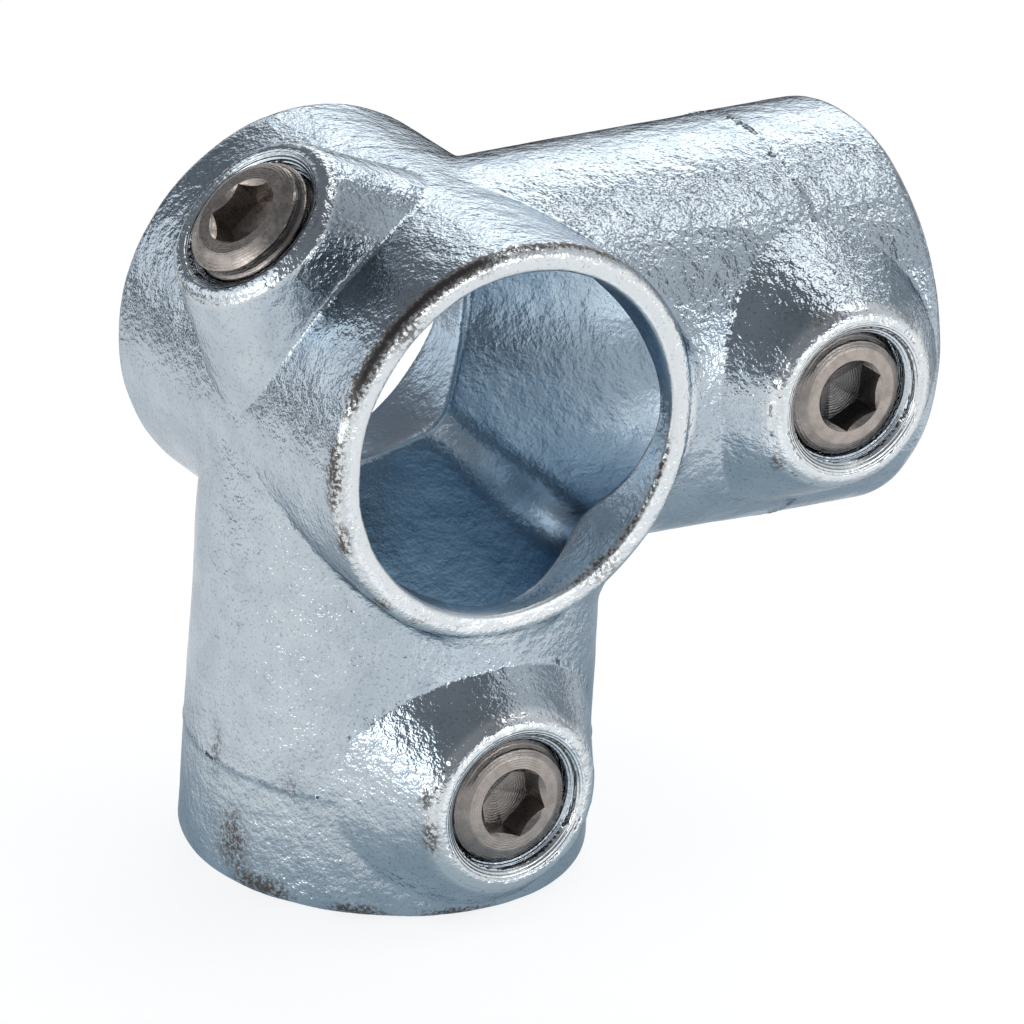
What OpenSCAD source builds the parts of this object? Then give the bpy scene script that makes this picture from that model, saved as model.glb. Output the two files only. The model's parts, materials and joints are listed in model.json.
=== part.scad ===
// Four-way tube connector: a cast sleeve for a through tube, with two sockets
// at right angles to it, and a hexagon-socket set screw for each tube.
// The axes of all three tubes cross at the origin. The through tube runs along
// Y, the side socket opens towards +X and the lower socket towards -Z.

/* [Tube] */
// Outside diameter of the tubes that the connector takes
tube_d = 42.4; // [33.7:0.1:48.3]
// Diametral room round the through tube
through_clearance = 1.1; // [0.6:0.1:2]
// Diametral room round the tubes in the sockets
socket_clearance = 1.0; // [0.5:0.1:1.9]

/* [Casting] */
// Wall of the through sleeve
sleeve_wall = 3.3; // [2.8:0.05:4.5]
// Distance from the sockets' plane to the sleeve's front rim, on the side of the limb screws
sleeve_front = 25.5; // [25.5:0.1:35]
// Distance from the sockets' plane to the sleeve's back rim
sleeve_back = 27.6; // [25.5:0.1:35]
// Distance from the sleeve's axis to the mouth of each socket
limb_reach = 61.7; // [59:0.1:80]
// Wall of a socket at its root, inside the sleeve
root_wall = 2.75; // [2.2:0.05:3.05]
// Wall of a socket at its mouth
mouth_wall = 3.6; // [3.4:0.05:5]
// Rounding of the sleeve's outer rims
sleeve_rim_r = 1.5; // [0.5:0.1:2]
// Rounding of the sockets' outer rims
mouth_rim_r = 2.2; // [0.5:0.1:2.5]
// Rounding of the bores' edges
bore_edge_r = 0.7; // [0.3:0.1:0.9]
// Length of the land at each end of the through bore, where the tube bears
land_len = 5; // [3.5:0.1:6]
// Depth of the relief in the through bore between its two lands
land_relief = 0.15; // [0.1:0.05:0.4]
// Radius of the web in the corner between the two sockets
crotch_r = 8; // [5:0.5:14]
// Rounding of the ridge where the two sockets' bores meet
ridge_r = 5; // [3:0.5:8]

/* [Screw bosses] */
// Diameter of a boss at its face
boss_d = 23.6; // [22:0.1:25]
// Rounding of a boss's rim
boss_rim_r = 1.5; // [0.5:0.1:2]
// Distance from each socket's mouth back to its screw
boss_inset = 16.4; // [14.5:0.1:18]
// Height of a socket's boss face above the crown of the bore
limb_seat = 8.2; // [7:0.1:10]
// Height of the sleeve's boss face above the crown of the bore
hub_seat = 11.25; // [8:0.05:13]
// How far the skirt of a socket's boss spreads along the limb, towards the sleeve
skirt_run = 4.4; // [2:0.1:6]
// How far the skirt of a socket's boss spreads across the limb
skirt_flank = 7; // [4:0.1:9]
// How far the skirt of the sleeve's boss spreads across the sleeve
hub_flank = 6.5; // [4:0.1:9]
// Bevel at the mouth of each screw hole
hole_bevel = 1.2; // [0.3:0.1:1.5]

/* [Set screws] */
// Outside diameter of the screws' thread
screw_d = 16; // [12:0.5:16]
// Length of a screw
screw_len = 7; // [6:0.1:7]
// Radial room between a screw and its hole
screw_fit = 0.1; // [0.05:0.01:0.1]
// Bevel at both ends of a screw
screw_bevel = 1.3; // [0.5:0.1:1.8]
// Width across the flats of the hexagon socket
hex_af = 8; // [5:0.5:8]
// Depth of the hexagon socket
hex_depth = 4; // [3:0.1:4]
// Radius of the cup in a screw's tip
cup_r = 4; // [2:0.1:5]
// Depth of the cup in a screw's tip
cup_depth = 0.8; // [0.3:0.1:1.2]
// How far the sleeve's screw stands out of its boss
hub_screw_proud = 1.7; // [0:0.1:4.5]
// How far the side socket's screw lies below its boss face
side_screw_recess = 1; // [0:0.1:1]
// How far the lower socket's screw lies below its boss face
lower_screw_recess = 0.5; // [0:0.1:1]
// Turn of each hexagon, in the order sleeve, side, lower
hex_turns = [27, -3, 14]; // [-30:1:30]

/* [Hidden] */
$fn = 96;

// Steps in a quarter turn of a rounded edge
arc_steps = 6;
// Sides round a boss's skirt
skirt_sides = 72;
// Overlap that carries a cut past the face it opens
past = 5;
// How far a form is sunk below the one that it grows out of
sink = 0.3;
// Share of a bore's or the sleeve's radius at which a boss starts, inside the wall
limb_foot_share = 0.8;
hub_foot_share = 0.68;

through_r = (tube_d + through_clearance) / 2;
socket_r = (tube_d + socket_clearance) / 2;
sleeve_r = through_r + sleeve_wall;
root_r = socket_r + root_wall;
mouth_r = socket_r + mouth_wall;
boss_r = boss_d / 2;
hole_r = screw_d / 2 + screw_fit;
limb_face = socket_r + limb_seat;
hub_face = through_r + hub_seat;
// Distance from the sleeve's axis to the screw in each socket
limb_boss_at = limb_reach - boss_inset;
// Where the bosses and their holes start, well inside the bores
boss_foot = limb_foot_share * socket_r;
// How fast a limb widens towards its mouth, and its radius at the place of its boss
limb_taper = (mouth_r - root_r) / limb_reach;
limb_r = root_r + limb_taper * limb_boss_at;
// Radius at which a skirt starts, just inside the boss
neck_r = boss_r - sink;
// The limbs and their bores start just off the sleeve's axis, inside its wall
limb_start = 2.5;
bore_start = 0.8;

// Points along an arc of radius r about c, from angle a0 to angle a1
function arc(c, r, a0, a1) =
    [for (i = [0 : arc_steps]) let (a = a0 + (a1 - a0) * i / arc_steps)
        c + r * [cos(a), sin(a)]];

// Points round the rim of a boss with its face at the given height
function boss_rim(face) =
    arc([boss_r - boss_rim_r, face - boss_rim_r], boss_rim_r, 0, 90);

// Placement: +Z of the child turns to the named direction
module to_front() { rotate([90, 0, 0]) children(); }
module to_side() { rotate([0, 90, 0]) children(); }
module to_lower() { rotate([0, 180, 0]) children(); }
module to_hub_screw() { rotate([0, -45, 0]) children(); }
module to_side_screw() { translate([limb_boss_at, 0, 0]) rotate([90, 0, 0]) children(); }
module to_lower_screw() { translate([0, 0, -limb_boss_at]) rotate([90, 90, 0]) children(); }

// The sleeve with its rounded rims, its front end up
module sleeve() {
    rotate_extrude()
        polygon(concat(
            [[0, -sleeve_back]],
            arc([sleeve_r - sleeve_rim_r, sleeve_rim_r - sleeve_back], sleeve_rim_r, -90, 0),
            arc([sleeve_r - sleeve_rim_r, sleeve_front - sleeve_rim_r], sleeve_rim_r, 0, 90),
            [[0, sleeve_front]]));
}

// A limb that widens a little towards its rounded mouth
module limb() {
    rotate_extrude()
        polygon(concat(
            [[0, limb_start], [root_r, limb_start]],
            arc([mouth_r - mouth_rim_r, limb_reach - mouth_rim_r], mouth_rim_r, 0, 90),
            [[0, limb_reach]]));
}

// Elbow from the side limb round to the lower limb, of tube radius r and inner radius bend
module corner_elbow(r, bend) {
    reach = r + bend;
    translate([reach, 0, -reach]) rotate([90, 0, 0]) rotate([0, 0, 90])
        rotate_extrude(angle = 90) translate([reach, 0]) circle(r);
}

// Round post of a boss, from the given foot up to its rounded rim
module boss_post(foot, face) {
    rotate_extrude()
        polygon(concat(
            [[0, foot], [boss_r, foot]],
            boss_rim(face),
            [[0, face]]));
}

// Boss on a limb, with the limb along X and the screw along Z. Its skirt ends just short of the mouth.
module limb_boss() {
    mouth_room = boss_inset - mouth_rim_r / 2;
    boss_post(boss_foot, limb_face);
    boss_skirt(limb_face, limb_r, limb_taper, boss_r + skirt_run, mouth_room, boss_r + skirt_flank);
}

// Boss on the sleeve, with the sleeve along Y and the screw along Z. Its skirt spreads across only.
module hub_boss() {
    boss_post(hub_foot_share * sleeve_r, hub_face);
    rotate([0, 0, 90])
        boss_skirt(hub_face, sleeve_r, 0, neck_r, neck_r, boss_r + hub_flank);
}

// Skirt that runs straight from a boss's rim down to an oval foot on the tube that carries it.
// The tube lies along X, with radius tube_r below the boss and growing by taper along X. The foot
// reaches back and ahead along the tube, and the same to both sides across it.
module boss_skirt(face, tube_r, taper, back, ahead, across) {
    top_h = face - boss_rim_r + sink;
    function run(t) = let (along = cos(t) < 0 ? back : ahead)
        1 / sqrt((cos(t) / along) ^ 2 + (sin(t) / across) ^ 2);
    function foot(t) = let (r = run(t), here_r = tube_r + taper * r * cos(t))
        [r * cos(t), r * sin(t), sqrt(here_r ^ 2 - (r * sin(t)) ^ 2) - sink];
    turns = [for (k = [0 : skirt_sides - 1]) 360 * k / skirt_sides];
    points = concat(
        [for (t = turns) [neck_r * cos(t), neck_r * sin(t), top_h]],
        [for (t = turns) foot(t)],
        [[0, 0, top_h], [0, 0, boss_foot]]);
    top = len(points) - 2;
    bottom = len(points) - 1;
    function rim(k) = k % skirt_sides;
    function hem(k) = skirt_sides + k % skirt_sides;
    sides = [0 : skirt_sides - 1];
    faces = concat(
        [for (k = sides) [rim(k), rim(k + 1), hem(k)]],
        [for (k = sides) [rim(k + 1), hem(k + 1), hem(k)]],
        [for (k = sides) [top, rim(k + 1), rim(k)]],
        [for (k = sides) [bottom, hem(k), hem(k + 1)]]);
    polyhedron(points, faces);
}

// Cutter for the through bore, which leaves a rounded edge at both rims, a land behind each
// and a shallow relief between the lands
module through_cut() {
    edge_at = through_r + bore_edge_r;
    relief_r = through_r + land_relief;
    back_land = bore_edge_r + land_len - sleeve_back;
    front_land = sleeve_front - bore_edge_r - land_len;
    rotate_extrude()
        polygon(concat(
            [[0, -sleeve_back - past], [edge_at, -sleeve_back - past]],
            arc([edge_at, bore_edge_r - sleeve_back], bore_edge_r, 270, 180),
            [[through_r, back_land], [relief_r, back_land + land_relief]],
            [[relief_r, front_land - land_relief], [through_r, front_land]],
            arc([edge_at, sleeve_front - bore_edge_r], bore_edge_r, 180, 90),
            [[edge_at, sleeve_front + past], [0, sleeve_front + past]]));
}

// Cutter for a socket's bore, which leaves a rounded edge at the mouth
module socket_cut() {
    edge_at = socket_r + bore_edge_r;
    rotate_extrude()
        polygon(concat(
            [[0, bore_start], [socket_r, bore_start]],
            arc([edge_at, limb_reach - bore_edge_r], bore_edge_r, 180, 90),
            [[edge_at, limb_reach + past], [0, limb_reach + past]]));
}

// Cutter for a screw hole from inside the bore out through a boss face
module screw_hole(face) {
    rotate_extrude()
        polygon([
            [0, boss_foot], [hole_r, boss_foot],
            [hole_r, face - hole_bevel], [hole_r + hole_bevel + past, face + past],
            [0, face + past]]);
}

// The casting
module body() {
    color("lightsteelblue")
        difference() {
            union() {
                to_front() sleeve();
                to_side() limb();
                to_lower() limb();
                corner_elbow(root_r - sink, crotch_r);
                to_side_screw() limb_boss();
                to_lower_screw() limb_boss();
                to_hub_screw() hub_boss();
            }
            to_front() through_cut();
            to_side() socket_cut();
            to_lower() socket_cut();
            corner_elbow(socket_r - sink / 2, ridge_r);
            to_hub_screw() screw_hole(hub_face);
            to_side_screw() screw_hole(limb_face);
            to_lower_screw() screw_hole(limb_face);
        }
}

// A set screw whose socket face lies at height top and whose tip points down
module set_screw(top, hex_turn) {
    tip = top - screw_len;
    hex_r = hex_af / 2 / cos(30);
    rim = screw_d / 2 - screw_bevel;
    color("rosybrown")
        difference() {
            rotate_extrude()
                polygon([
                    [0, tip + cup_depth], [cup_r, tip], [rim, tip],
                    [screw_d / 2, tip + screw_bevel], [screw_d / 2, top - screw_bevel],
                    [rim, top], [0, top]]);
            translate([0, 0, top - hex_depth]) rotate([0, 0, hex_turn])
                cylinder(h = hex_depth + past, r = hex_r, $fn = 6);
            translate([0, 0, top - (hex_r - hex_af / 2)])
                cylinder(h = past, r1 = hex_af / 2, r2 = hex_af / 2 + past);
        }
}

module hub_set_screw() {
    to_hub_screw() set_screw(hub_face + hub_screw_proud, hex_turns[0]);
}

module side_set_screw() {
    to_side_screw() set_screw(limb_face - side_screw_recess, hex_turns[1]);
}

module lower_set_screw() {
    to_lower_screw() set_screw(limb_face - lower_screw_recess, hex_turns[2]);
}

body();
hub_set_screw();
side_set_screw();
lower_set_screw();
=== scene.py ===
"""Looks of a galvanised four-way tube connector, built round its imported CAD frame.

Lengths of the connector are written in millimetres and turned into metres where a mesh is made.
"""

import json
import logging
import math
from dataclasses import dataclass, field
from enum import Enum
from typing import Callable, List, Optional, Sequence, Tuple, Union

import bpy
import numpy as np
from mathutils import Matrix, Vector


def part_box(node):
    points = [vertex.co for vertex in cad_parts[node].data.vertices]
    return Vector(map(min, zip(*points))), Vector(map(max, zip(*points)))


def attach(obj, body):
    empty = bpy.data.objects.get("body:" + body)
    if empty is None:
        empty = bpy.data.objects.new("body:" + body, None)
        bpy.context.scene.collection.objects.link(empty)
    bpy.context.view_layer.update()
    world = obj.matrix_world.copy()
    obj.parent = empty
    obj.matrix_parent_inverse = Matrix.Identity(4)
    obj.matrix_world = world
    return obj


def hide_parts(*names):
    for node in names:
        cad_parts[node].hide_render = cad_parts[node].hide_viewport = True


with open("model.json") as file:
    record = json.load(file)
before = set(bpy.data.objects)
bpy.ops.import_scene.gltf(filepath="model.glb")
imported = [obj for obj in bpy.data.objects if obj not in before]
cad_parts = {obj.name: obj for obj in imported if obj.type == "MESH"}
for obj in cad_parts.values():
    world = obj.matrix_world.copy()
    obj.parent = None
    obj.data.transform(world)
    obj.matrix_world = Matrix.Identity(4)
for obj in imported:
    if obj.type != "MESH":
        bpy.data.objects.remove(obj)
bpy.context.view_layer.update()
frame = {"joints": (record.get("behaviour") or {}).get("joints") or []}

LOG = logging.getLogger("connector")
MM = 0.001
LEAST_FILLET = 0.12
LEAST_SLOPE = 0.3
PROBE = 0.02
LATTICE = 32

Array = np.ndarray
Colour = Tuple[float, float, float]
Point = Tuple[float, float, float]
Span = Tuple[float, float]
Steps = Tuple[float, ...]
Socket = bpy.types.NodeSocket
Value = Union[Socket, float, Sequence[float]]


class Axis(Enum):
    """Directions of the connector, as unit vectors."""

    SIDE = (1.0, 0.0, 0.0)
    LOWER = (0.0, 0.0, -1.0)
    FRONT = (0.0, -1.0, 0.0)
    HUB_SCREW = (-math.sqrt(0.5), 0.0, math.sqrt(0.5))

    @property
    def vector(self) -> Array:
        """The direction as an array."""
        return np.array(self.value, np.float32)


class ScrewPlace(Enum):
    """The three set screws, by the name of the body that each one is."""

    HUB = "hub_screw"
    SIDE = "side_screw"
    LOWER = "lower_screw"

    @property
    def node(self) -> str:
        """Name of the screw's CAD node."""
        return self.value.replace("_screw", "_set_screw")


# Forms as distances


@dataclass
class Form:
    """A solid sampled at points: signed distance to its surface and the outward direction there."""

    d: Array
    n: Array

    def inverse(self) -> "Form":
        """The space outside the solid."""
        return Form(-self.d, -self.n)


def unit(v: Array) -> Array:
    """Vectors scaled to length one."""
    return v / np.maximum(np.linalg.norm(v, axis=-1, keepdims=True), 1e-9)


def sampled(shape: Callable[[Array], Array], p: Array) -> Form:
    """Measures a shape's level function as a distance.

    Args:
        shape: Function of points that is negative inside the shape.
        p: Points, one per row, in millimetres.

    Returns:
        The shape's distance and outward direction at the points.
    """
    level = shape(p)
    ways = np.eye(3, dtype=np.float32)
    slope = np.stack([(shape(p + PROBE * way) - level) / PROBE for way in ways], axis=-1)
    length = np.maximum(np.linalg.norm(slope, axis=-1), LEAST_SLOPE)
    return Form(level / length, slope / length[:, None])


def joined(a: Form, b: Form, reach: float) -> Form:
    """Joins two solids with a fillet, which fades out where their surfaces run side by side.

    Args:
        a: First solid.
        b: Second solid.
        reach: Distance over which the fillet spreads where the surfaces meet at a right angle.

    Returns:
        The joined solid.
    """
    crossing = 1.0 - np.einsum("ij,ij->i", a.n, b.n)
    k = reach * np.clip(crossing, LEAST_FILLET, 1.0)
    h = np.clip(0.5 + 0.5 * (b.d - a.d) / k, 0.0, 1.0)
    d = b.d + (a.d - b.d) * h - k * h * (1.0 - h)
    return Form(d, unit(b.n + (a.n - b.n) * h[:, None]))


def cut(a: Form, tool: Form, reach: float) -> Form:
    """Cuts a tool out of a solid and rounds the edge.

    Args:
        a: Solid to cut.
        tool: Solid to take away.
        reach: Distance over which the rounding spreads at a square edge.

    Returns:
        What is left of the solid.
    """
    return joined(a.inverse(), tool, reach).inverse()


def rounded_disc(r: Array, h: Array, size: Array, low: float, high: float, edge: float) -> Array:
    """Level of a turned blank with rounded edges.

    Args:
        r: Distance of the points from the blank's axis.
        h: Height of the points along the axis.
        size: Radius of the blank, at each point or everywhere.
        low: Height of the lower end.
        high: Height of the upper end.
        edge: Radius of the edges.

    Returns:
        Signed distance at the points.
    """
    out = r - size + edge
    end = np.abs(h - 0.5 * (low + high)) - 0.5 * (high - low) + edge
    within = np.minimum(np.maximum(out, end), 0.0)
    return within + np.hypot(np.maximum(out, 0.0), np.maximum(end, 0.0)) - edge


def soft_noise(p: Array, size: float, seed: int) -> Array:
    """Smooth random values in space.

    Args:
        p: Points in millimetres.
        size: Distance between the random values.
        seed: Seed of the values.

    Returns:
        Values from -1 to 1 at the points.
    """
    lattice = np.random.default_rng(seed).uniform(-1.0, 1.0, (LATTICE,) * 3)
    lattice = lattice.astype(np.float32)
    q = p / size
    base = np.floor(q).astype(np.int32)
    t = q - base
    t = t * t * (3.0 - 2.0 * t)
    total = np.zeros(len(p), np.float32)
    for corner in np.ndindex(2, 2, 2):
        weight = np.ones(len(p), np.float32)
        for axis in range(3):
            weight = weight * (t[:, axis] if corner[axis] else 1.0 - t[:, axis])
        i, j, k = ((base[:, axis] + corner[axis]) % LATTICE for axis in range(3))
        total += weight * lattice[i, j, k]
    return total


def about(p: Array, axis: Array, centre: Optional[Array] = None) -> Tuple[Array, Array]:
    """Distance of points from an axis, and their height along it.

    Args:
        p: Points in millimetres.
        axis: Unit direction of the axis.
        centre: Point that the axis passes through and heights are measured from; the origin if left out.

    Returns:
        Distances and heights.
    """
    q = p if centre is None else p - centre
    h = q @ axis
    return np.linalg.norm(q - h[:, None] * axis, axis=1), h


def smoothstep(low: float, high: float, x: Array) -> Array:
    """Smooth rise from 0 at low to 1 at high."""
    t = np.clip((x - low) / (high - low), 0.0, 1.0)
    return t * t * (3.0 - 2.0 * t)


def smoothfall(low: float, high: float, x: Array) -> Array:
    """Smooth fall from 1 at low to 0 at high."""
    return 1.0 - smoothstep(low, high, x)


# Skin of a form


def skin_vertices(values: Array, cells: Array, planes: Sequence[Array]) -> Array:
    """Places one vertex in each cell: the mean of the points where its edges cross the zero level.

    Args:
        values: Signed distances at the grid's points.
        cells: Grid numbers of each cell's lowest corner.
        planes: Places of the grid's planes along X, Y and Z.

    Returns:
        One vertex for each cell.
    """
    total = np.zeros((len(cells), 3))
    hits = np.zeros(len(cells))
    for axis in range(3):
        for a, b in np.ndindex(2, 2):
            first = cells + np.insert([a, b], axis, 0)
            last = cells + np.insert([a, b], axis, 1)
            v0, v1 = values[tuple(first.T)], values[tuple(last.T)]
            crosses = (v0 < 0) != (v1 < 0)
            t = np.where(crosses, v0 / np.where(crosses, v0 - v1, 1.0), 0.0)
            p0 = np.stack([planes[n][first[:, n]] for n in range(3)], axis=1)
            p1 = np.stack([planes[n][last[:, n]] for n in range(3)], axis=1)
            total += np.where(crosses[:, None], p0 + t[:, None] * (p1 - p0), 0.0)
            hits += crosses
    return total / hits[:, None]


def skin_faces(inside: Array, number: Array) -> Array:
    """Spans a face across each edge of the grid that crosses the zero level.

    Args:
        inside: Whether each of the grid's points is inside the solid.
        number: Number of the vertex in each cell.

    Returns:
        Four-sided faces with outward order.
    """
    faces = []
    for axis in range(3):
        u, v = [n for n in range(3) if n != axis]
        here, there = [slice(None)] * 3, [slice(None)] * 3
        here[axis], there[axis] = slice(None, -1), slice(1, None)
        before, after = inside[tuple(here)], inside[tuple(there)]
        for entering in (False, True):
            edges = np.argwhere((before != after) & (before == entering))
            edges = edges[(edges[:, u] > 0) & (edges[:, v] > 0)]
            edges = edges[(edges[:, u] < number.shape[u]) & (edges[:, v] < number.shape[v])]
            steps = [(0, 0), (1, 0), (1, 1), (0, 1)]
            if (axis == 1) == entering:
                steps.reverse()
            quad = []
            for du, dv in steps:
                cell = edges.copy()
                cell[:, u] -= 1 - du
                cell[:, v] -= 1 - dv
                quad.append(number[tuple(cell.T)])
            faces.append(np.stack(quad, axis=1))
    return np.concatenate(faces)


def skin_of(values: Array, planes: Sequence[Array]) -> Tuple[Array, Array]:
    """Nets the zero level of values on a grid: one vertex in each cell that it passes through.

    Args:
        values: Signed distances at the grid's points.
        planes: Places of the grid's planes along X, Y and Z.

    Returns:
        Vertices, and four-sided faces with outward order.
    """
    inside = values < 0
    nx, ny, nz = (size - 1 for size in inside.shape)
    corners = list(np.ndindex(2, 2, 2))
    count = sum(inside[i:nx + i, j:ny + j, k:nz + k].astype(np.int8) for i, j, k in corners)
    cells = np.argwhere((count > 0) & (count < len(corners)))
    number = np.full(count.shape, -1, np.int64)
    number[tuple(cells.T)] = np.arange(len(cells))
    return skin_vertices(values, cells, planes), skin_faces(inside, number)


def mesh_from(name: str, vertices: Array, faces: Sequence[Sequence[int]]) -> bpy.types.Object:
    """Makes a mesh object in the scene.

    Args:
        name: Name of the object.
        vertices: Places in metres.
        faces: Vertex numbers of each face.

    Returns:
        The new object.
    """
    mesh = bpy.data.meshes.new(name)
    rows = faces.tolist() if isinstance(faces, np.ndarray) else faces
    mesh.from_pydata(np.asarray(vertices, float).tolist(), [], rows)
    mesh.validate()
    mesh.update()
    made = bpy.data.objects.new(name, mesh)
    bpy.context.scene.collection.objects.link(made)
    return made


def add_values(made: bpy.types.Object, name: str, values: Array) -> None:
    """Stores one number per vertex, for a finish to read.

    Args:
        made: Object whose mesh takes the numbers.
        name: Name of the attribute.
        values: One number for each vertex.
    """
    attribute = made.data.attributes.new(name, "FLOAT", "POINT")
    attribute.data.foreach_set("value", np.asarray(values, np.float32))


# Finishes


class Sheet:
    """A node tree that is laid out by method calls.

    The named numbers are the places of the colour sockets on Blender's Mix node.
    """

    MIX_FIRST = 6
    MIX_SECOND = 7
    MIX_RESULT = 2

    def __init__(self, tree: bpy.types.NodeTree) -> None:
        """Starts on an empty tree."""
        self.tree = tree
        tree.nodes.clear()

    def node(self, kind: str, **settings: object) -> bpy.types.Node:
        """Adds a node.

        Args:
            kind: Type name of the node.
            **settings: Properties of the node.

        Returns:
            The node.
        """
        made = self.tree.nodes.new(kind)
        for name, value in settings.items():
            setattr(made, name, value)
        return made

    def put(self, value: Value, socket: Socket) -> None:
        """Links an output to a socket, or sets the socket to a plain value.

        Args:
            value: Output socket, number, or sequence of numbers.
            socket: Input that takes it.
        """
        if isinstance(value, Socket):
            self.tree.links.new(value, socket)
        elif isinstance(value, (tuple, list)) and len(value) == 3 and socket.type == "RGBA":
            socket.default_value = (*value, 1.0)
        else:
            socket.default_value = value

    def math(self, operation: str, a: Value, b: Value = 0.0, clamp: bool = False) -> Socket:
        """Adds a calculation.

        Args:
            operation: Name of the operation.
            a: First value.
            b: Second value.
            clamp: Whether the result is kept between 0 and 1.

        Returns:
            The result.
        """
        made = self.node("ShaderNodeMath", operation=operation, use_clamp=clamp)
        self.put(a, made.inputs[0])
        self.put(b, made.inputs[1])
        return made.outputs[0]

    def mix(self, share: Value, a: Value, b: Value) -> Socket:
        """Mixes two colours.

        Args:
            share: Share of the second colour.
            a: First colour.
            b: Second colour.

        Returns:
            The mixed colour.
        """
        made = self.node("ShaderNodeMix", data_type="RGBA")
        self.put(share, made.inputs[0])
        self.put(a, made.inputs[self.MIX_FIRST])
        self.put(b, made.inputs[self.MIX_SECOND])
        return made.outputs[self.MIX_RESULT]

    def noise(self, place: Value, size: float, detail: float = 2.0, rough: float = 0.5) -> Socket:
        """Adds a noise whose features have the given size.

        Args:
            place: Coordinates in metres.
            size: Size of a feature in millimetres.
            detail: Number of finer layers.
            rough: Strength of the finer layers.

        Returns:
            Values of about 0.3 to 0.7.
        """
        made = self.node("ShaderNodeTexNoise")
        self.put(place, made.inputs["Vector"])
        made.inputs["Scale"].default_value = 1.0 / (size * MM)
        made.inputs["Detail"].default_value = detail
        made.inputs["Roughness"].default_value = rough
        return made.outputs[0]

    def ramp(
        self, value: Value, low: float, high: float, to_low: float = 0.0, to_high: float = 1.0
    ) -> Socket:
        """Maps a range of values smoothly to another.

        Args:
            value: Value to map.
            low: Value that gives to_low.
            high: Value that gives to_high.
            to_low: Result at low and before.
            to_high: Result at high and after.

        Returns:
            The mapped value.
        """
        made = self.node("ShaderNodeMapRange", interpolation_type="SMOOTHSTEP")
        self.put(value, made.inputs[0])
        for socket, number in zip(made.inputs[1:5], (low, high, to_low, to_high)):
            socket.default_value = number
        return made.outputs[0]

    def bump(self, height: Value, depth: float, below: Optional[Socket] = None) -> Socket:
        """Adds relief to a surface.

        Args:
            height: Height, as a share of the depth.
            depth: Depth of the relief in millimetres.
            below: Relief that this one is added to.

        Returns:
            The surface direction.
        """
        made = self.node("ShaderNodeBump")
        made.inputs["Strength"].default_value = 1.0
        made.inputs["Distance"].default_value = depth * MM
        self.put(height, made.inputs["Height"])
        if below is not None:
            self.put(below, made.inputs["Normal"])
        return made.outputs[0]

    def attribute(self, name: str) -> Socket:
        """Reads a number stored on the mesh."""
        return self.node("ShaderNodeAttribute", attribute_name=name).outputs["Fac"]

    def place(self) -> Socket:
        """Coordinates of the object itself, in metres."""
        return self.node("ShaderNodeTexCoord").outputs["Object"]


def new_material(name: str) -> Tuple[bpy.types.Material, Sheet, bpy.types.Node]:
    """Starts a material with a principled shader.

    Args:
        name: Name of the material.

    Returns:
        The material, its node sheet and its shader.
    """
    material = bpy.data.materials.new(name)
    material.use_nodes = True
    sheet = Sheet(material.node_tree)
    shader = sheet.node("ShaderNodeBsdfPrincipled")
    output = sheet.node("ShaderNodeOutputMaterial")
    sheet.put(shader.outputs[0], output.inputs["Surface"])
    return material, sheet, shader


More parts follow.
